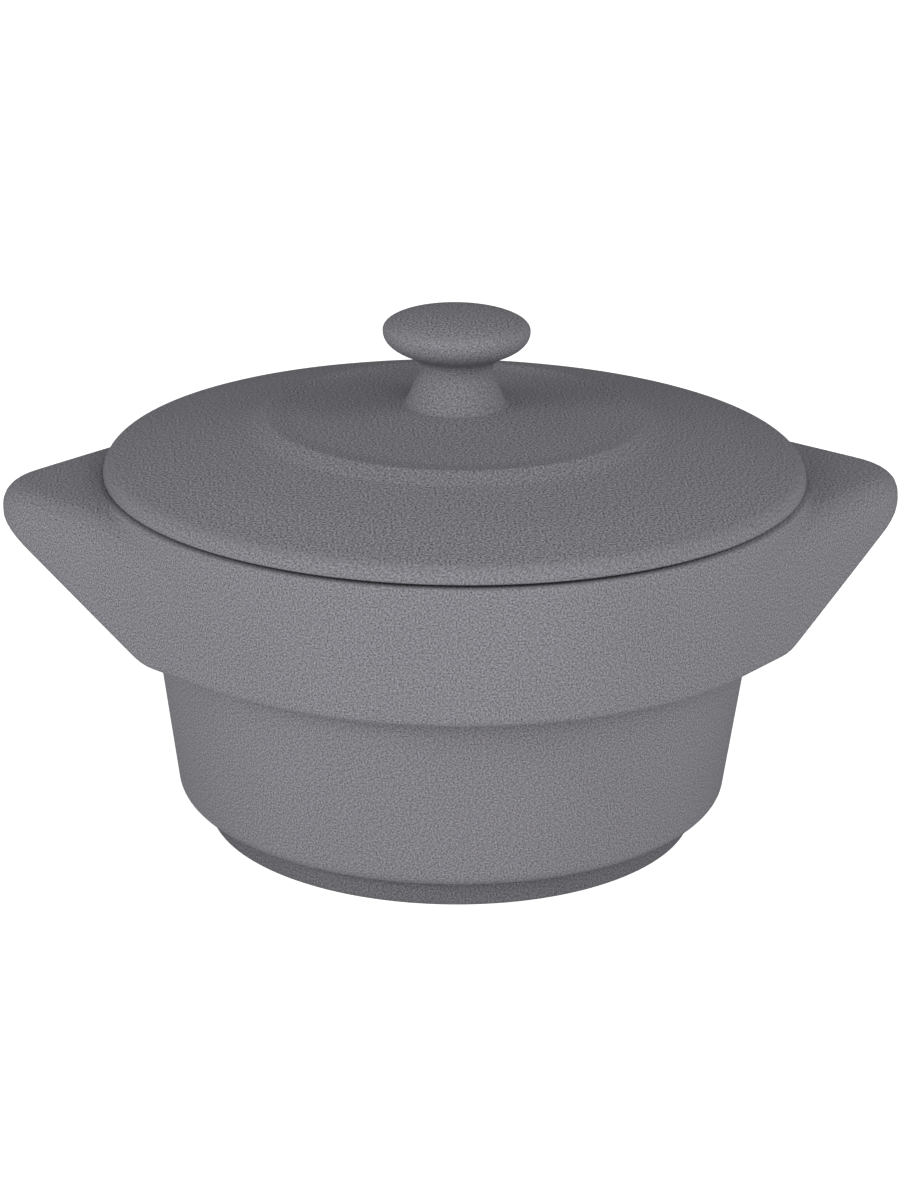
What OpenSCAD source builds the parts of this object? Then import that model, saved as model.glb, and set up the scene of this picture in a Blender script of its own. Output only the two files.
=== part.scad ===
/* [Dish] */
// Height of the rim above the table
dish_h = 51.7; // [42:0.1:70]
// Outside diameter of the rim
rim_d = 101.6; // [84:0.2:130]
// Height of the wide upper band, from its underside to the rim
band_h = 19.5; // [14:0.1:28]
// How much narrower the band is at its underside, on each side
band_taper = 0.5; // [0:0.1:3]
// Wall thickness of the band
band_wall = 5.3; // [3.6:0.1:8]
// Rounding of the rim's outer edge
rim_edge_r = 0.4; // [0.2:0.1:1.6]
// Rounding of the rim's inner edge
mouth_edge_r = 1.5; // [0.4:0.1:1.8]
// Rounding of the band's lower edge
band_edge_r = 1.2; // [0.3:0.1:2]
// How far the band overhangs the belly
step_w = 6.9; // [3:0.1:12]
// Thickness of the ledge inside the dish, above the band's underside
ledge_t = 5; // [3.5:0.1:8]
// Rounding of the ledge inside the dish
ledge_r = 3; // [0.5:0.1:6]
// How much narrower the belly is at its lower corner, on each side
belly_taper = 3.7; // [0:0.1:10]
// Wall thickness of the belly
belly_wall = 4.8; // [3.5:0.1:8]
// Rounding of the belly's lower corner
belly_corner_r = 2.2; // [0.4:0.1:6]
// Thickness of the floor
floor_t = 5; // [3.5:0.1:9]
// Rounding where the floor meets the wall, inside
floor_corner_r = 9; // [2:0.5:14]

/* [Foot] */
// Height of the foot ring
foot_h = 3.9; // [2:0.1:8]
// How far the foot ring is set in from the belly's lower corner
foot_inset = 4.3; // [2:0.1:10]
// Rise of the underside from the foot ring to the belly's corner
foot_rise = 1; // [0.5:0.1:4]
// Width of the foot ring's flat face
foot_w = 5; // [3:0.1:9]
// Depth of the recess inside the foot ring
foot_recess = 2.4; // [1:0.1:4]
// Rounding of the foot ring's edges
foot_edge_r = 0.4; // [0.2:0.1:1.2]

/* [Handles] */
// How far each handle stands out from the rim
handle_reach = 13.4; // [7:0.1:22]
// Radius of the handle's tip, seen from above
handle_tip_r = 11; // [5:0.1:16]
// Rounding of the handle's upper edge
handle_edge_r = 3.6; // [1:0.1:5]
// How deep the handle's flanks run into the band
handle_tuck = 0.8; // [0.4:0.1:2]
// Length of the handle's slanted underside, seen from above
handle_run = 19.3; // [17:0.1:26]
// Height that the slanted underside gains on its way out to the tip
handle_rise = 13.6; // [9:0.1:15]

/* [Lid] */
// How far the lid's edge stays inside the rim's edge
lid_inset = 0.8; // [0.2:0.1:2]
// Height of the lid's edge above the rim, before rounding
lid_edge_h = 2.45; // [1.4:0.05:5]
// Rounding of the lid's upper edge
lid_edge_r = 2.3; // [0.4:0.1:3]
// Rounding of the lid's lower edge
lid_under_r = 0.3; // [0.2:0.1:1.2]
// Thickness of the lid
lid_wall = 4.2; // [3:0.1:6]
// Diameter at which the lid's slope turns down to its edge
shoulder_d = 82; // [70:0.5:92]
// Height of that turn above the rim
shoulder_rise = 5.1; // [3.5:0.1:6]
// Rounding of that turn
shoulder_r = 60; // [10:1:80]
// Diameter of the raised field in the middle of the lid
field_d = 56.8; // [40:0.2:66]
// Width of the step round the field
field_step_w = 3; // [1:0.1:6]
// Height of that step
field_step_h = 1.3; // [0.3:0.1:2]
// Height of the step's foot above the rim
field_rise = 7.4; // [6:0.05:8]
// Rounding of the step
field_r = 1.8; // [0.3:0.1:4]
// Diameter at which the field sags most
sag_d = 28; // [22:0.5:36]
// Height of the field there, above the rim
sag_rise = 9.2; // [8.5:0.1:9.5]
// Rounding of the field there
sag_r = 50; // [5:1:50]
// Height of the lid's crown above the rim
crown_rise = 10.3; // [9.8:0.1:18]
// Gap between the lid's locating flange and the mouth, on each side
flange_gap = 1; // [0.4:0.1:2]
// Depth of the locating flange below the rim
flange_depth = 4.5; // [3:0.1:7]
// Width of the locating flange
flange_w = 3.6; // [2.5:0.1:6]
// Rounding of the locating flange
flange_r = 1; // [0.3:0.1:1.8]

/* [Knob] */
// Diameter of the knob's cap
cap_d = 20.9; // [16:0.1:32]
// Height of the cap above its widest ring
cap_crown = 2.8; // [1.5:0.1:8]
// Depth of the cap below its widest ring
cap_under = 4.2; // [2:0.1:7]
// Fullness of the cap's curve, 2 for an ellipse and more for a blunter edge
cap_fullness = 2.2; // [1.6:0.1:4]
// Height of the cap's widest ring above the lid's crown
cap_rise = 10.6; // [8:0.1:18]
// Diameter of the stem where it stands on the lid
stem_d = 14.4; // [12:0.1:20]
// Diameter of the stem at its neck
neck_d = 9; // [7:0.1:14]
// Depth of the neck below the cap's widest ring
neck_drop = 4.6; // [4:0.1:7]
// Distance from the neck out to where the cap's curve begins
neck_ease = 3.1; // [1:0.1:5]
// Rounding between the neck and the cap
neck_edge_r = 2.2; // [0.3:0.1:3]

/* [Hidden] */
$fn = 128;
arc_steps = 6;
cap_steps = 20;
handle_facets = 40;
cut_over = 0.2;
glaze = "#78777c";

rim_r = rim_d / 2;
band_z = dish_h - band_h;
band_r = rim_r - band_taper;
belly_top_r = band_r - step_w;
belly_low_r = belly_top_r - belly_taper;
belly_low_z = foot_h + foot_rise;
belly_lean = belly_taper / (band_z - belly_low_z);
foot_r = belly_low_r - foot_inset;
floor_z = foot_recess + floor_t;
floor_r = belly_low_r + (floor_z - belly_low_z) * belly_lean - belly_wall;
ledge_z = band_z + ledge_t;
ledge_out_r = rim_r - band_taper * (dish_h - ledge_z) / band_h - band_wall;
ledge_in_r = belly_low_r + (ledge_z - belly_low_z) * belly_lean - belly_wall;
mouth_r = rim_r - band_wall;

handle_top_z = dish_h - rim_edge_r;
handle_low_z = band_z + band_edge_r;
handle_end_x = rim_r + handle_reach;
handle_tip_x = handle_end_x - handle_tip_r;

lid_r = rim_r - lid_inset;
lid_edge_z = dish_h + lid_edge_h;
shoulder_z = dish_h + shoulder_rise;
field_z = dish_h + field_rise;
field_out_r = (field_d + field_step_w) / 2;
field_in_r = (field_d - field_step_w) / 2;
crown_z = dish_h + crown_rise;
stem_r = stem_d / 2;
slope = (field_z - shoulder_z) / (shoulder_d / 2 - field_out_r);
flange_out_r = mouth_r - flange_gap;
flange_in_r = flange_out_r - flange_w;
flange_z = dish_h - flange_depth;
roof_edge_z = shoulder_z + (shoulder_d / 2 - flange_in_r) * slope - lid_wall;
roof_field_z = field_z - lid_wall;
roof_crown_z = crown_z - lid_wall;

cap_r = cap_d / 2;
cap_z = crown_z + cap_rise;
neck_r = neck_d / 2;
neck_z = cap_z - neck_drop;
cap_power = 2 / cap_fullness;
cap_start = -acos(pow((neck_r + neck_ease) / cap_r, 1 / cap_power));

// Each corner of an outline is [radius, height, rounding].
// Step from corner i to its neighbour, as a plane vector.
function side(points, i, step) =
  let (
    count = len(points),
    here = points[(i + count) % count],
    there = points[(i + count + step) % count]
  )
  [there[0] - here[0], there[1] - here[1]];

// Half of the angle inside corner i.
function half_angle(points, i) =
  let (
    a = side(points, i, -1),
    b = side(points, i, 1)
  )
  acos(max(-1, min(1, a * b / norm(a) / norm(b)))) / 2;

// Length that the rounding of corner i takes of each side beside it.
function wanted(points, i) =
  points[(i + len(points)) % len(points)][2] / tan(half_angle(points, i));

// The same length where two roundings have to share a side that is too short for both.
function reach(points, i) =
  let (
    own = wanted(points, i),
    before = norm(side(points, i, -1)) / max(own + wanted(points, i - 1), own),
    after = norm(side(points, i, 1)) / max(own + wanted(points, i + 1), own)
  )
  own * min(1, before, after);

// Points of an outline with its corners rounded by arcs.
function rounded(points) = [
  for (i = [0 : len(points) - 1])
    let (
      here = [points[i][0], points[i][1]],
      a = side(points, i, -1) / norm(side(points, i, -1)),
      b = side(points, i, 1) / norm(side(points, i, 1)),
      half = half_angle(points, i)
    )
    each points[i][2] == 0 ? [here] :
      let (
        length = reach(points, i),
        centre = here + (a + b) / norm(a + b) * length / cos(half),
        from = here + a * length - centre,
        to = here + b * length - centre,
        sweep = 180 - 2 * half
      )
      [for (k = [0 : arc_steps])
        let (t = k / arc_steps)
        centre + (from * sin((1 - t) * sweep) + to * sin(t * sweep)) / sin(sweep)
      ]
];

// A body of revolution from a rounded outline.
module turned(outline) {
  rotate_extrude()
    polygon(rounded(outline));
}

// A point of the cap's curve, from -90 degrees below to 90 degrees on top.
function cap_point(angle) =
  let (
    across = pow(max(0, cos(angle)), cap_power),
    up = pow(abs(sin(angle)), cap_power)
  )
  [cap_r * across, cap_z + (angle < 0 ? -cap_under : cap_crown) * up, 0];

// The dish: foot ring, tapered belly, step, wide band, rim, and the hollow with its ledge.
module bowl() {
  color(glaze)
    turned([
      [0, foot_recess, 0],
      [foot_r - foot_w, foot_recess, foot_edge_r],
      [foot_r - foot_w, 0, foot_edge_r],
      [foot_r, 0, foot_edge_r],
      [foot_r, foot_h, foot_edge_r],
      [belly_low_r, belly_low_z, belly_corner_r],
      [belly_top_r, band_z, band_edge_r],
      [band_r, band_z, band_edge_r],
      [rim_r, dish_h, rim_edge_r],
      [mouth_r, dish_h, mouth_edge_r],
      [ledge_out_r, ledge_z, ledge_r],
      [ledge_in_r, ledge_z, ledge_r],
      [floor_r, floor_z, floor_corner_r],
      [0, floor_z, 0]
    ]);
}

// An upright block of a handle's height with a rounded upper edge.
module handle_block(r) {
  turned([
    [0, handle_low_z, 0],
    [r, handle_low_z, 0],
    [r, handle_top_z, handle_edge_r],
    [0, handle_top_z, 0]
  ]);
}

// All that lies under the slanted underside of the handle on the +X side.
module below_handle() {
  rotate([90, 0, 0])
    linear_extrude(height = rim_d, center = true)
      polygon([
        [handle_end_x - (1 + cut_over) * handle_run, band_z - cut_over * handle_rise],
        [handle_end_x + cut_over * handle_run, band_z - cut_over * handle_rise],
        [handle_end_x + cut_over * handle_run, band_z + (1 + cut_over) * handle_rise]
      ]);
}

// One handle on the +X side: upright flanks that run from the band to a round tip,
// a slanted underside, and an inner face that lies on the band.
module handle() {
  difference() {
    hull($fn = handle_facets) {
      handle_block(rim_r - handle_tuck);
      translate([handle_tip_x, 0, 0])
        handle_block(handle_tip_r);
    }
    below_handle();
    translate([0, 0, band_z])
      cylinder(h = band_h, r1 = band_r, r2 = rim_r);
  }
}

module left_handle() {
  color(glaze)
    mirror([1, 0, 0])
      handle();
}

module right_handle() {
  color(glaze)
    handle();
}

// The lid: a top that slopes down from a raised field to a soft edge, a flat seat for the knob,
// and a flange that drops into the mouth.
module lid() {
  color(glaze)
    turned([
      [0, roof_crown_z, 0],
      [stem_r, roof_crown_z, 0],
      [field_d / 2, roof_field_z, field_r],
      [flange_in_r, roof_edge_z, flange_r],
      [flange_in_r, flange_z, flange_r],
      [flange_out_r, flange_z, flange_r],
      [flange_out_r, dish_h, 0],
      [lid_r, dish_h, lid_under_r],
      [lid_r, lid_edge_z, lid_edge_r],
      [shoulder_d / 2, shoulder_z, shoulder_r],
      [field_out_r, field_z, field_r],
      [field_in_r, field_z + field_step_h, field_r],
      [sag_d / 2, dish_h + sag_rise, sag_r],
      [stem_r, crown_z, 0],
      [0, crown_z, 0]
    ]);
}

// The knob: a flared stem that narrows to a neck under a lens-shaped cap.
module knob() {
  color(glaze)
    turned(concat(
      [
        [0, crown_z, 0],
        [stem_r, crown_z, 0],
        [neck_r, neck_z, neck_edge_r]
      ],
      [for (k = [0 : cap_steps]) cap_point(cap_start + (90 - cap_start) * k / cap_steps)]
    ));
}

bowl();
left_handle();
right_handle();
lid();
knob();
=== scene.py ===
import math

import bpy
import numpy as np
from mathutils import Matrix, Vector


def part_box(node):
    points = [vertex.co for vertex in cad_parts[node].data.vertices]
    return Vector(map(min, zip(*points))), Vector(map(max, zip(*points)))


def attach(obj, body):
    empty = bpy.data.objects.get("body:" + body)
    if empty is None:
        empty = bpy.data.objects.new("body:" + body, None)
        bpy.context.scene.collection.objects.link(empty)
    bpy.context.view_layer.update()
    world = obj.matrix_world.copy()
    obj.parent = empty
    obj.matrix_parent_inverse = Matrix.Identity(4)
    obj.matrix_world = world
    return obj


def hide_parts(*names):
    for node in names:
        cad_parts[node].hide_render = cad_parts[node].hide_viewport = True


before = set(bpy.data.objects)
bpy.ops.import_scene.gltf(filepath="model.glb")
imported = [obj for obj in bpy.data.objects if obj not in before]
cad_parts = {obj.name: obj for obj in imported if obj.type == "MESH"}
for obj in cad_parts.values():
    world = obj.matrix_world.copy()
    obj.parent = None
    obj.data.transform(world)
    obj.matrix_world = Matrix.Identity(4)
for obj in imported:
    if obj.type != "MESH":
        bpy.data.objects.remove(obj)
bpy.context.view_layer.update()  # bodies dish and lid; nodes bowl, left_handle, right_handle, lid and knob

mm = 0.001  # sizes and outlines are written in millimetres
bowlBox, handleBox, lidBox, knobBox = (
    [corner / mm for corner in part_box(node)] for node in ("bowl", "right_handle", "lid", "knob"))
print("frame: rim", round(2 * bowlBox[1].x, 1), "mm across, dish", round(bowlBox[1].z, 1), "mm high")


def addNode(tree, kind, inputs=None, **settings):
    node = tree.nodes.new(kind)
    for name, value in settings.items():
        setattr(node, name, value)
    for name, value in (inputs or {}).items():
        if isinstance(value, bpy.types.NodeSocket):
            tree.links.new(value, node.inputs[name])
        else:
            node.inputs[name].default_value = value
    return node


def toLinear(hexColour):
    parts = [int(hexColour[i:i + 2], 16) / 255 for i in (1, 3, 5)]
    return [p / 12.92 if p <= 0.04045 else ((p + 0.055) / 1.055) ** 2.4 for p in parts] + [1]


def startMaterial(name):
    material = bpy.data.materials.new(name)
    material.use_nodes = True
    material.node_tree.nodes.clear()
    return material, material.node_tree


# The glaze of every piece, and the bare clay under the foot.
glaze = {
    "paintedShade": "#6a696e",  # painted shade: darker in hollow corners and on the foot
    "body": "#7b7a7f",
    "thin": "#807f84",  # paler where it breaks over an edge
    "wallGrit": 0.23, "topGrit": 0.29,  # mm from grain to grain, drawn as coarse as it needs to show
    "wallTone": 0.66, "topTone": 0.75,  # how much paler the grains are than the hollows between them
    "topBegins": 0.7, "topWhole": 0.95,  # how far up a surface faces where the grain of the tops takes over
    "gritHeight": 0.02,  # mm
    "cloud": 16, "cloudTone": 0.04, "cloudDetail": 2,  # mm, share and octaves, slow drift of the tone
    "roughness": 0.9, "specular": 0,  # no mirror, not even along the far edge
}


def makeGlaze():  # stoneware glaze, sprayed and fired matt: a sandy skin, no mirror, soft over the edges
    material, tree = startMaterial("matteStonewareGlaze")
    surface = addNode(tree, "ShaderNodeTexCoord").outputs
    place, normal = (addNode(tree, "ShaderNodeSeparateXYZ", {"Vector": surface[name]}).outputs["Z"]
                     for name in ("Object", "Normal"))
    girth = addNode(tree, "ShaderNodeAttribute", attribute_name="girth").outputs["Fac"]
    wrapped = addNode(tree, "ShaderNodeCombineXYZ", {"X": girth, "Y": place}).outputs["Vector"]
    tones = {}
    for name, skin, size, share, detail in (  # the grain lies flat on the tops and is wrapped round the walls
            ("top", surface["Object"], glaze["topGrit"], glaze["topTone"], 0),
            ("wall", wrapped, glaze["wallGrit"], glaze["wallTone"], 0),
            ("cloud", surface["Object"], glaze["cloud"], glaze["cloudTone"], glaze["cloudDetail"])):
        noise = addNode(tree, "ShaderNodeTexNoise", {
            "Vector": skin, "Scale": 1 / (size * mm), "Detail": detail},
            noise_dimensions="3D" if detail else "2D")
        tones[name] = addNode(tree, "ShaderNodeMapRange", {
            "Value": noise.outputs["Fac"], "To Min": 1 - share, "To Max": 1 + share}).outputs["Result"]
    upward = addNode(tree, "ShaderNodeMath", {0: normal}, operation="ABSOLUTE").outputs[0]
    onTop = addNode(tree, "ShaderNodeMapRange", {
        "Value": upward, "From Min": glaze["topBegins"], "From Max": glaze["topWhole"]})
    grit = addNode(tree, "ShaderNodeMix", {
        "Factor": onTop.outputs["Result"], "A": tones["wall"], "B": tones["top"]}).outputs["Result"]
    light = addNode(tree, "ShaderNodeMath", {0: grit, 1: tones["cloud"]}, operation="MULTIPLY").outputs[0]
    # hollow corners and the foot take the darker colour as painted shade; sharp edges take the paler glaze
    # break
    edge = addNode(tree, "ShaderNodeAttribute", attribute_name="edgeBreakAndShade").outputs["Fac"]
    depth = addNode(tree, "ShaderNodeMapRange", {"Value": edge, "From Min": -1, "From Max": 1})
    coat = addNode(tree, "ShaderNodeValToRGB", {"Fac": depth.outputs["Result"]})
    coat.color_ramp.elements.new(0.5)
    for stop, name in zip(coat.color_ramp.elements, ("paintedShade", "body", "thin")):
        stop.color = toLinear(glaze[name])
    colour = addNode(tree, "ShaderNodeHueSaturation", {"Color": coat.outputs["Color"], "Value": light})
    bump = addNode(tree, "ShaderNodeBump", {"Height": grit, "Distance": glaze["gritHeight"] * mm})
    shader = addNode(tree, "ShaderNodeBsdfPrincipled", {
        "Base Color": colour.outputs["Color"], "Normal": bump.outputs["Normal"],
        "Roughness": glaze["roughness"], "Specular IOR Level": glaze["specular"]})
    addNode(tree, "ShaderNodeOutputMaterial", {"Surface": shader.outputs["BSDF"]})
    return material


bareClay = {
    "dark": "#a2998b", "pale": "#b9b1a4", "darkTo": 0.35, "paleFrom": 0.65,
    "sand": 0.5, "sandDetail": 3, "sandHeight": 0.03,  # mm from grain to grain, octaves, mm
    "roughness": 0.9, "specular": 0.2,
}


def makeBareClay():  # fired stoneware wiped clean of glaze: pale, dry and open-grained
    material, tree = startMaterial("bareStoneware")
    place = addNode(tree, "ShaderNodeTexCoord").outputs["Object"]
    sand = addNode(tree, "ShaderNodeTexNoise", {
        "Vector": place, "Scale": 1 / (bareClay["sand"] * mm),
        "Detail": bareClay["sandDetail"]}).outputs["Fac"]
    colour = addNode(tree, "ShaderNodeValToRGB", {"Fac": sand})
    for stop, name, position in zip(colour.color_ramp.elements, ("dark", "pale"), ("darkTo", "paleFrom")):
        stop.color, stop.position = toLinear(bareClay[name]), bareClay[position]
    bump = addNode(tree, "ShaderNodeBump", {"Height": sand, "Distance": bareClay["sandHeight"] * mm})
    shader = addNode(tree, "ShaderNodeBsdfPrincipled", {
        "Base Color": colour.outputs["Color"], "Normal": bump.outputs["Normal"],
        "Roughness": bareClay["roughness"], "Specular IOR Level": bareClay["specular"]})
    addNode(tree, "ShaderNodeOutputMaterial", {"Surface": shader.outputs["BSDF"]})
    return material


glazeMaterial, clayMaterial = makeGlaze(), makeBareClay()
print("materials:", glazeMaterial.name, clayMaterial.name)


# Turning: an outline of (radius, height, rounding) corners, swept round the axis.
turning = {"spacing": 2, "arcStep": 10, "wheelRadius": 20, "weld": 0.002}  # mm, degrees, mm, mm


def softOutline(corners, spacing):
    runs = []
    for i, (radius, height, rounding) in enumerate(corners):
        here = np.array([radius, height])
        if rounding == 0:
            runs.append([here])
            continue
        before, after = (np.array(corners[k][:2]) - here for k in (i - 1, i + 1))
        before, after = before / np.linalg.norm(before), after / np.linalg.norm(after)
        half = math.acos(np.clip(before @ after, -1, 1)) / 2
        middle = (before + after) / np.linalg.norm(before + after)
        centre = here + middle * rounding / math.sin(half)
        start, end = (here + way * rounding / math.tan(half) - centre for way in (before, after))
        sweep = math.pi - 2 * half
        steps = max(3, math.ceil(math.degrees(sweep) / turning["arcStep"]))
        runs.append([
            centre + (start * math.sin((1 - t) * sweep) + end * math.sin(t * sweep)) / math.sin(sweep)
            for t in np.linspace(0, 1, steps + 1)])
    points = list(runs[0])
    for run in runs[1:]:
        pieces = max(1, math.ceil(np.linalg.norm(run[0] - points[-1]) / spacing))
        points += list(np.linspace(points[-1], run[0], pieces + 1)[1:]) + run[1:]
    return points


def makeTurningTree():
    tree = bpy.data.node_groups.new("turnedClay", "GeometryNodeTree")
    for name, kind in (("Outline", "Geometry"), ("Steps round", "Int"), ("Wheel radius", "Float"),
                       ("Weld", "Float"), ("Glaze", "Material")):
        tree.interface.new_socket(name, in_out="INPUT", socket_type="NodeSocket" + kind)
    tree.interface.new_socket("Clay", in_out="OUTPUT", socket_type="NodeSocketGeometry")
    given = addNode(tree, "NodeGroupInput").outputs
    inward = addNode(tree, "ShaderNodeMath", {0: given["Wheel radius"], 1: -1}, operation="MULTIPLY")
    shift = addNode(tree, "ShaderNodeCombineXYZ", {"X": inward.outputs[0]})
    laid = addNode(tree, "GeometryNodeTransform", {  # the upright outline is laid flat for the sweep
        "Geometry": given["Outline"], "Translation": shift.outputs["Vector"],
        "Rotation": (math.pi / 2, 0, 0)})
    profile = addNode(tree, "GeometryNodeMeshToCurve", {"Mesh": laid.outputs["Geometry"]})
    wheel = addNode(tree, "GeometryNodeCurvePrimitiveCircle", {
        "Resolution": given["Steps round"], "Radius": given["Wheel radius"]}, mode="RADIUS")
    swept = addNode(tree, "GeometryNodeCurveToMesh", {
        "Curve": wheel.outputs["Curve"], "Profile Curve": profile.outputs["Curve"]})
    welded = addNode(tree, "GeometryNodeMergeByDistance", {  # closes the two poles on the axis
        "Geometry": swept.outputs["Mesh"], "Distance": given["Weld"]})
    smooth = addNode(tree, "GeometryNodeSetShadeSmooth", {"Geometry": welded.outputs["Geometry"]})
    whole = addNode(tree, "GeometryNodeRealizeInstances", {"Geometry": smooth.outputs["Geometry"]})
    glazed = addNode(tree, "GeometryNodeSetMaterial", {
        "Geometry": whole.outputs["Geometry"], "Material": given["Glaze"]})
    addNode(tree, "NodeGroupOutput", {"Clay": glazed.outputs["Geometry"]})
    return tree


turningTree = makeTurningTree()


def turnPiece(name, corners, steps, spacing=turning["spacing"]):
    outline = softOutline(corners, spacing)
    mesh = bpy.data.meshes.new(name + "Outline")
    links = [(i, i + 1) for i in range(len(outline) - 1)]
    mesh.from_pydata([(r * mm, 0, z * mm) for r, z in outline], links, [])
    piece = bpy.data.objects.new(name, mesh)
    bpy.context.scene.collection.objects.link(piece)
    modifier = piece.modifiers.new("turning", "NODES")
    modifier.node_group = turningTree
    values = {"Steps round": steps, "Wheel radius": turning["wheelRadius"] * mm,
              "Weld": turning["weld"] * mm, "Glaze": glazeMaterial}
    for socket in turningTree.interface.items_tree:
        if socket.name in values:
            modifier[socket.identifier] = values[socket.name]
    bpy.context.view_layer.update()
    evaluated = piece.evaluated_get(bpy.context.evaluated_depsgraph_get())
    turned = bpy.data.meshes.new_from_object(evaluated)
    piece.modifiers.remove(modifier)
    piece.data = turned
    turned.name = name
    return piece


def readPoints(mesh):
    flat = np.empty(3 * len(mesh.vertices))
    mesh.vertices.foreach_get("co", flat)
    return flat.reshape(-1, 3)


def markEdges(piece, shadeBelow=None, reach=0.5, passes=3):  # +1 on a sharp edge, where the glaze breaks paler; -1 in a hollow corner, painted shade
    mesh = piece.data
    points = readPoints(mesh) / mm
    normals = np.empty(3 * len(points))
    mesh.vertices.foreach_get("normal", normals)
    pairs = np.empty(2 * len(mesh.edges), int)
    mesh.edges.foreach_get("vertices", pairs)
    a, b = pairs.reshape(-1, 2).T
    count = np.bincount(np.concatenate([a, b]), minlength=len(points))

    def neighbourMean(values):
        total = np.zeros_like(values)
        np.add.at(total, a, values[b])
        np.add.at(total, b, values[a])
        return total / count.reshape(-1, *[1] * (values.ndim - 1))

    lengths = np.linalg.norm(points[a] - points[b], axis=1)
    squares = sum(np.bincount(end, lengths ** 2, len(points)) for end in (a, b)) / count
    sink = ((points - neighbourMean(points)) * normals.reshape(-1, 3)).sum(1)
    bend = np.clip(4 * reach * sink / squares, -1, 1)  # the bend of the skin, per reach in mm
    # everything below this height gets the full painted shade
    if shadeBelow is not None:
        bend[points[:, 2] < shadeBelow] = -1
    for _ in range(passes):
        bend = 0.5 * bend + 0.5 * neighbourMean(bend)
    values = mesh.attributes.new("edgeBreakAndShade", "FLOAT", "POINT").data
    values.foreach_set("value", bend.astype(np.float32))


def layGirth(piece, girthAt=None):  # metres round the piece from its left side, along the front and the back
    x, y, z = (readPoints(piece.data) / mm).T
    radius, angle = np.hypot(x, y), np.arctan2(np.abs(y), -x)
    girth = radius * angle if girthAt is None else girthAt(radius, angle, z)
    values = piece.data.attributes.new("girth", "FLOAT", "POINT").data
    values.foreach_set("value", (girth * mm).astype(np.float32))


# The dish is turned with its foot, belly, band and hollow; then the two handles are pulled out of the band.
dish = {  # mm
    "bandHeight": 19.5, "bandTaper": 0.5, "bandWall": 5.3, "bandEdge": 0.9, "rimEdge": 0.3, "mouthEdge": 1.5,
    "rimFall": 0.5,  # the rim's top leans in, so that the gap under the lid is dark
    "stepWidth": 6.9, "ledgeThick": 5, "ledgeSoft": 3, "ledgeCorner": 2.8,  # the step, and the ledge in it
    "bellyTaper": 3.7, "bellyWall": 4.8, "bellyCorner": 2.2, "floorThick": 5, "floorCorner": 9,
    "footHeight": 3.9, "footInset": 4.3, "footRise": 1, "footWidth": 5, "footRecess": 2.4, "footEdge": 0.5,
    "bareHeight": 0.1,  # the foot is bare up to here
    "steps": 288,
}
handles = {  # mm, except where a note says otherwise
    "tipRadius": 11, "softEdge": 3.2,  # of the tip seen from above and of the edge round its top
    "softGrowth": 1.1,  # how much wider that edge gets on its way to the band, as a share
    "underRun": 19.3, "underRise": 13.6,  # the slanted underside, from the foot of the band out to the tip
    "underSoft": 1.6,  # of the edge between the underside and the flanks
    "melt": 0.5,  # how far the glaze softens a corner
    "flush": 2,  # reach over which the top comes up level with the rim
    "rows": 120, "finer": 6, "samples": 160, "outlineSamples": 1000,  # counts
}
near = 0.01  # mm, closer than any two rows of points
dishHeight, rimRadius = bowlBox[1].z, bowlBox[1].x
handleReach, handleTop = handleBox[1].x, handleBox[1].z
bandFoot = dishHeight - dish["bandHeight"]
bandRadius = rimRadius - dish["bandTaper"]
bellyTop = bandRadius - dish["stepWidth"]
bellyLow = bellyTop - dish["bellyTaper"]
bellyFoot = dish["footHeight"] + dish["footRise"]
footRadius = bellyLow - dish["footInset"]
mouthRadius = rimRadius - dish["bandWall"]


def bandAt(height):
    return bandRadius + dish["bandTaper"] * (height - bandFoot) / dish["bandHeight"]


def insideAt(height):
    return bellyLow + dish["bellyTaper"] * (height - bellyFoot) / (bandFoot - bellyFoot) - dish["bellyWall"]


def reachAround(angle, radius, tipRadius, tipReach):  # from above: a round band with a round tip beside it
    place = tipReach - tipRadius
    touch = math.acos((radius - tipRadius) / place)
    if angle >= touch:
        return radius
    if angle > math.atan2(tipRadius * math.sin(touch), place + tipRadius * math.cos(touch)):
        return radius / math.cos(touch - angle)  # flat flank, tangent to both
    return place * math.cos(angle) + math.sqrt(tipRadius ** 2 - (place * math.sin(angle)) ** 2)


def softMin(a, b, soft):  # the smaller of two lengths, eased where they are nearly the same
    share = min(1, max(0, 0.5 + 0.5 * (b - a) / soft))
    return b + (a - b) * share - soft * share * (1 - share)


def evenPath(path):  # the same line in even rows, its corners softened
    along = np.concatenate([[0], np.cumsum(np.linalg.norm(np.diff(path, axis=0), axis=1))])
    even = np.linspace(0, along[-1], handles["finer"] * handles["rows"] + 1)
    line = np.stack([np.interp(even, along, column) for column in path.T], 1)
    width = handles["melt"] / even[1]
    pad = math.ceil(3 * width)  # a bell curve is all but flat past three widths
    weights = np.exp(-0.5 * (np.arange(-pad, pad + 1) / width) ** 2)
    padded = np.pad(line, ((pad, pad), (0, 0)), "reflect", reflect_type="odd")
    soft = [np.convolve(column, weights / weights.sum(), "valid") for column in padded.T]
    return np.stack(soft, 1)[::handles["finer"]]


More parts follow.
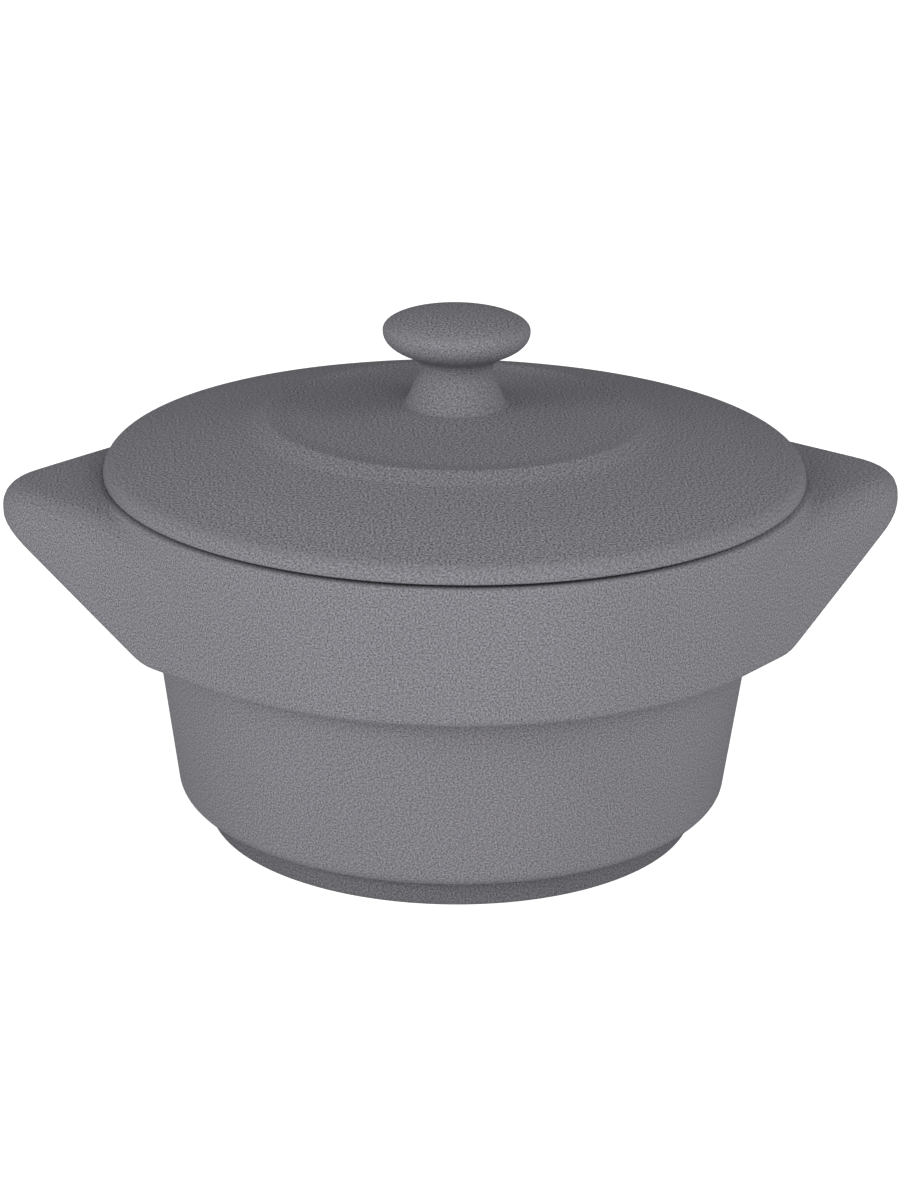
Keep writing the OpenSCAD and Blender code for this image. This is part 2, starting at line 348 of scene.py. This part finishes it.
def bandPath(angle):  # the band's outside at an angle: under it, up the flank, over the edge, in to the rim
    tip, count = handles["tipRadius"], handles["samples"]
    touch = math.acos((bandRadius - tip) / (handleReach - tip))  # where the flank meets the band
    soft = handles["softEdge"] * (1 + handles["softGrowth"] * min(1, angle / touch))
    turn, ahead = handleTop - soft, max(1e-6, math.cos(angle))  # ahead never nought, as it divides
    lowEdge = dish["bandEdge"]
    path = [(bellyTop + 2 * lowEdge, bandFoot)]
    for height in np.linspace(bandFoot, turn, count):
        under = handleReach + handles["underRun"] * ((height - bandFoot) / handles["underRise"] - 1)
        flank = reachAround(angle, bandAt(height), tip, handleReach)
        reach = max(bandAt(height), softMin(flank, under / ahead, handles["underSoft"]))
        tuck = lowEdge - math.sqrt(lowEdge ** 2 - max(0, lowEdge - height + bandFoot) ** 2)
        path.append((reach - tuck, height))
    for over in np.linspace(0, math.pi / 2, count):
        height, inset = turn + soft * math.sin(over), soft * (1 - math.cos(over))
        reach = reachAround(angle, bandAt(turn) - inset, tip - inset, handleReach - inset)
        path.append((max(reach, bandAt(height)), height))
    outer, inner, rimEdge = path[-1][0], rimRadius - dish["rimEdge"], dish["rimEdge"]
    flush = min(1, (outer - bandAt(handleTop)) / handles["flush"])
    rim = [(outer + (bandAt(handleTop) - outer) * t, handleTop) for t in np.linspace(0, 1, count)]
    rim += [(inner + rimEdge * math.cos(over), handleTop + (dishHeight - handleTop) * math.sin(over))
            for over in np.linspace(0, math.pi / 2, count)]
    level = [handleTop + (dishHeight - handleTop) * (outer - r) / (outer - inner) for r, z in rim]
    path += [(r, z + flush * (top - z)) for (r, z), top in zip(rim, level)]
    return evenPath(np.array(path))


plainBand = bandPath(math.pi / 2)


def dishGirth(radius, angle, height):  # on the band, the way along its outline with the handles
    turns = np.linspace(0, math.pi / 2, handles["outlineSamples"])
    reach = np.array([reachAround(turn, bandRadius, handles["tipRadius"], handleReach) for turn in turns])
    steps = np.hypot(np.diff(reach), reach[1:] * turns[1])
    along = np.concatenate([[0], np.cumsum(steps)])
    quarter = np.interp(np.minimum(angle, math.pi - angle), turns, along)
    outline = np.where(angle < math.pi / 2, quarter, 2 * along[-1] - quarter)
    onBand = (radius > mouthRadius + 1) & (height > bandFoot - near)  # 1 mm clear of the mouth
    return np.where(onBand, outline, radius * angle)


def dishCorners():  # from the middle of the hollow, over the rim, to the middle of the underside
    floor, ledge = dish["footRecess"] + dish["floorThick"], bandFoot + dish["ledgeThick"]
    ring = footRadius - dish["footWidth"]
    return [
        (0, floor, 0), (insideAt(floor), floor, dish["floorCorner"]),
        (insideAt(ledge), ledge, dish["ledgeSoft"]),
        (bandAt(ledge) - dish["bandWall"], ledge, dish["ledgeCorner"]),
        (mouthRadius, dishHeight - dish["rimFall"], dish["mouthEdge"]),
    ] + [(r, z, 0) for r, z in plainBand[::-1]] + [
        (bellyTop, bandFoot, dish["bandEdge"]), (bellyLow, bellyFoot, dish["bellyCorner"]),
        (footRadius, dish["footHeight"], dish["footEdge"]), (footRadius, 0, dish["footEdge"]),
        (ring, 0, dish["footEdge"]), (ring, dish["footRecess"], dish["footEdge"]), (0, dish["footRecess"], 0),
    ]


def pullHandles(mesh):  # each row of the plain band moves out to the same row of the band with its handles
    points = readPoints(mesh) / mm
    radius, level = np.hypot(points[:, 0], points[:, 1]), points[:, 2].copy()
    angles = np.round(np.arctan2(np.abs(points[:, 1]), np.abs(points[:, 0])), 5)  # one key per column
    outside = radius > bandRadius - 1  # mm, the band and its edges
    paths = {angle: bandPath(angle) for angle in np.unique(angles[outside])}
    for row, (r, z) in enumerate(plainBand):
        for i in np.flatnonzero(np.hypot(radius - r, level - z) < near):
            reach, height = paths[angles[i]][row]
            points[i] = points[i][0] * reach / r, points[i][1] * reach / r, height
    mesh.vertices.foreach_set("co", (points * mm).ravel())
    mesh.update()


dishPiece = turnPiece("dish", dishCorners(), dish["steps"])
pullHandles(dishPiece.data)
dishPiece.data.materials.append(clayMaterial)
for face in dishPiece.data.polygons:
    if face.center.z < dish["bareHeight"] * mm:  # the foot ring stands on bare clay
        face.material_index = 1
markEdges(dishPiece, shadeBelow=dish["footHeight"])  # the foot is painted darker, as painted shade under the belly's overhang
layGirth(dishPiece, dishGirth)
print("dish:", len(dishPiece.data.polygons), "faces")


# The lid: a top that slopes from a raised field to a soft edge, and a flange that drops into the mouth.
lid = {  # mm
    "edgeHeight": 2.45, "edgeSoft": 2.3, "underSoft": 0.25, "wall": 4.2,
    "shoulderAcross": 82, "shoulderRise": 5.1, "shoulderSoft": 60,  # where the slope turns down to the edge
    "stepAcross": 56.8, "stepWidth": 3, "stepFoot": 7.4, "stepHeight": 1.3,  # the ring round the field
    "stepSoft": 1.8, "fieldSoft": 0.7,  # it is soft outside and crisper inside
    "dipWidth": 3, "dipDepth": 0.2, "dipSoft": 6,  # the shallow dip inside that ring
    "sagAcross": 28, "sagRise": 9.2, "sagSoft": 50,  # the field sags a little
    "flangeGap": 1, "flangeWidth": 3.6, "flangeSoft": 1, "seatSoft": 0.3, "domeSoft": 12,
    "gap": 0.43, "gapDepth": 4,  # under the edge, so that a dark line shows there
    "steps": 240,
}
knob = {  # mm
    "capRise": 10.6, "capUnder": 4.2, "capFullness": 2.2,  # the last is the power of its curve
    "neckDrop": 4.6, "neckRadius": 4.5, "neckEase": 3.1, "neckSoft": 2.2,
    "stemRadius": 7.2, "footSoft": 1.5, "sink": 1,  # the skirt of the foot dips under the lid's glaze
    "capSteps": 28, "steps": 144, "spacing": 1,
}
lidRadius, crownHeight = lidBox[1].x, knobBox[0].z


def lidCorners():  # from the crown, over the edge, to the middle of the underside
    shoulder, step, half = lid["shoulderAcross"] / 2, lid["stepAcross"] / 2, lid["stepWidth"] / 2
    stepFoot, shoulderHeight = dishHeight + lid["stepFoot"], dishHeight + lid["shoulderRise"]
    outer = mouthRadius - lid["flangeGap"]
    inner = outer - lid["flangeWidth"]
    roof = shoulderHeight + (shoulder - inner) * (stepFoot - shoulderHeight) / (shoulder - step) - lid["wall"]
    return [
        (0, crownHeight, 0), (knob["stemRadius"], crownHeight, lid["stepSoft"]),
        (lid["sagAcross"] / 2, dishHeight + lid["sagRise"], lid["sagSoft"]),
        (step - half - lid["dipWidth"], stepFoot + lid["stepHeight"] - lid["dipDepth"], lid["dipSoft"]),
        (step - half, stepFoot + lid["stepHeight"], lid["fieldSoft"]),
        (step + half, stepFoot, lid["stepSoft"]),
        (shoulder, shoulderHeight, lid["shoulderSoft"]),
        (lidRadius, dishHeight + lid["edgeHeight"], lid["edgeSoft"]),
        (lidRadius, dishHeight + lid["gap"], lid["underSoft"]),
        (lidRadius - lid["gapDepth"], dishHeight, 0), (outer, dishHeight, lid["seatSoft"]),
        (outer, lidBox[0].z, lid["flangeSoft"]), (inner, lidBox[0].z, lid["flangeSoft"]),
        (inner, roof, lid["flangeSoft"]), (step, stepFoot - lid["wall"], lid["domeSoft"]),
        (knob["stemRadius"], crownHeight - lid["wall"], lid["domeSoft"]), (0, crownHeight - lid["wall"], 0),
    ]


def knobCorners():  # from the top of the cap, round it and down the stem, to the middle of its foot
    capRadius, capMiddle = knobBox[1].x, crownHeight + knob["capRise"]
    capCrown = knobBox[1].z - capMiddle
    power = 2 / knob["capFullness"]

    def capPoint(turn):
        across, up = math.cos(turn), math.sin(turn)
        rise = capCrown * up ** power if up > 0 else -knob["capUnder"] * (-up) ** power
        return capRadius * max(0, across) ** power, capMiddle + rise, 0

    end = math.acos(((knob["neckRadius"] + knob["neckEase"]) / capRadius) ** (1 / power))
    cap = [capPoint(turn) for turn in np.linspace(math.pi / 2, -end, knob["capSteps"])]
    cap[0] = (0, knobBox[1].z, 0)
    neckHeight = capMiddle - knob["neckDrop"]
    foot = crownHeight - knob["sink"]
    return cap + [
        (knob["neckRadius"], neckHeight, knob["neckSoft"]),
        (knob["stemRadius"], crownHeight, knob["footSoft"]),
        (knob["stemRadius"] + 2 * knob["footSoft"], foot, 0), (0, foot, 0),
    ]


lidPiece = turnPiece("lid", lidCorners(), lid["steps"])
knobPiece = turnPiece("knob", knobCorners(), knob["steps"], knob["spacing"])
for piece in (lidPiece, knobPiece):
    markEdges(piece)
    layGirth(piece)
print("lid:", len(lidPiece.data.polygons), "faces, knob:", len(knobPiece.data.polygons), "faces")

for piece, body, nodes in (
        (dishPiece, "dish", ("bowl", "left_handle", "right_handle")), (lidPiece, "lid", ("lid",)),
        (knobPiece, "lid", ("knob",))):
    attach(piece, body)
    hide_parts(*nodes)


# The studio: a pale floor, soft light mostly from the front, and a white surround.
studio = {
    "floorColour": "#f0f0f0", "floorAcross": 8, "floorDrop": 0.05,  # metres, mm
    "floorGlow": 0.72, "floorFill": 0.12,  # its own light, as the eye and as the clay meets it
    "ambient": 0.36, "aimHeight": 35,  # mm, where the lamps point
}
lamps = {  # degrees left or right of the front and above the floor, metres, watts
    "leftSoftbox": {"turn": -60, "rise": 20, "away": 0.95, "across": 0.4, "power": 3.9},
    "frontSoftbox": {"turn": 12, "rise": 20, "away": 0.95, "across": 0.4, "power": 3.15},
    "rightSoftbox": {"turn": 60, "rise": 32, "away": 0.95, "across": 0.4, "power": 2.1},
}


def seenDirectly(tree):  # 1 for the camera and for mirror or glass rays, so that all meet the white surround
    path = addNode(tree, "ShaderNodeLightPath").outputs
    most = addNode(tree, "ShaderNodeMath", {
        0: path["Is Camera Ray"], 1: path["Is Glossy Ray"]}, operation="MAXIMUM").outputs[0]
    return addNode(tree, "ShaderNodeMath", {
        0: most, 1: path["Is Transmission Ray"]}, operation="MAXIMUM").outputs[0]


def makeFloor():
    material, tree = startMaterial("paleStudioFloor")
    glow = addNode(tree, "ShaderNodeMapRange", {
        "Value": seenDirectly(tree), "To Min": studio["floorFill"], "To Max": studio["floorGlow"]})
    paper = addNode(tree, "ShaderNodeBsdfDiffuse", {"Color": toLinear(studio["floorColour"])})
    white = addNode(tree, "ShaderNodeEmission", {"Strength": glow.outputs[0]})
    both = addNode(tree, "ShaderNodeAddShader", {0: paper.outputs["BSDF"], 1: white.outputs["Emission"]})
    beneath = addNode(tree, "ShaderNodeNewGeometry").outputs["Backfacing"]
    clear = addNode(tree, "ShaderNodeBsdfTransparent")
    shown = addNode(tree, "ShaderNodeMixShader", {  # from below, the floor lets the underside show
        0: beneath, 1: both.outputs["Shader"], 2: clear.outputs["BSDF"]})
    addNode(tree, "ShaderNodeOutputMaterial", {"Surface": shown.outputs["Shader"]})
    half = studio["floorAcross"] / 2
    mesh = bpy.data.meshes.new("floor")
    corners = [(-half, -half, 0), (half, -half, 0), (half, half, 0), (-half, half, 0)]
    mesh.from_pydata(corners, [], [(0, 1, 2, 3)])
    mesh.materials.append(material)
    floor = bpy.data.objects.new("floor", mesh)
    floor.location.z = -studio["floorDrop"] * mm
    bpy.context.scene.collection.objects.link(floor)


def makeSurround():
    world = bpy.data.worlds.new("whiteSurround")
    world.use_nodes = True
    tree = world.node_tree
    tree.nodes.clear()
    level = addNode(tree, "ShaderNodeMapRange", {"Value": seenDirectly(tree), "To Min": studio["ambient"]})
    sky = addNode(tree, "ShaderNodeBackground", {"Color": (1, 1, 1, 1), "Strength": level.outputs["Result"]})
    addNode(tree, "ShaderNodeOutputWorld", {"Surface": sky.outputs["Background"]})
    bpy.context.scene.world = world


def fromFront(turn, rise):  # direction from the dish to a lamp or the camera
    turn, rise = math.radians(turn), math.radians(rise)
    return Vector((math.sin(turn) * math.cos(rise), -math.cos(turn) * math.cos(rise), math.sin(rise)))


def makeLamps():
    aim = Vector((0, 0, studio["aimHeight"] * mm))
    for name, lamp in lamps.items():
        light = bpy.data.lights.new(name, "AREA")
        light.shape, light.size, light.energy = "DISK", lamp["across"], lamp["power"]
        holder = bpy.data.objects.new(name, light)
        back = fromFront(lamp["turn"], lamp["rise"])
        holder.location = aim + back * lamp["away"]
        holder.rotation_euler = (-back).to_track_quat("-Z", "Y").to_euler()
        bpy.context.scene.collection.objects.link(holder)


# The camera stands where the photograph was taken from.
view = {
    "distance": 500, "rise": 19.77, "turn": -5.07, "roll": 0.7,  # mm and degrees
    "aside": -0.47, "height": 32.19,  # mm, the point in the middle of the picture
    "lens": 103.64, "sensor": 36,  # mm, the sensor along the picture's long side
    "nearest": 0.01, "farthest": 50,  # metres
}


def makeCamera():
    turn, roll = math.radians(view["turn"]), math.radians(view["roll"])
    back = fromFront(view["turn"], view["rise"])
    right = Vector((math.cos(turn), math.sin(turn), 0))
    up = back.cross(right)
    middle = Vector((0, 0, view["height"])) + right * view["aside"]
    across = right * math.cos(roll) + up * math.sin(roll)
    upward = up * math.cos(roll) - right * math.sin(roll)
    facing = Matrix((across, upward, back)).transposed().to_4x4()
    data = bpy.data.cameras.new("camera")
    data.lens, data.sensor_width = view["lens"], view["sensor"]
    data.clip_start, data.clip_end = view["nearest"], view["farthest"]
    camera = bpy.data.objects.new("camera", data)
    camera.matrix_world = Matrix.Translation((middle + back * view["distance"]) * mm) @ facing
    bpy.context.scene.collection.objects.link(camera)
    bpy.context.scene.camera = camera


makeFloor()
makeSurround()
makeLamps()
makeCamera()
bpy.context.scene.view_settings.view_transform = "Standard"
print("studio:", len(lamps), "lamps")
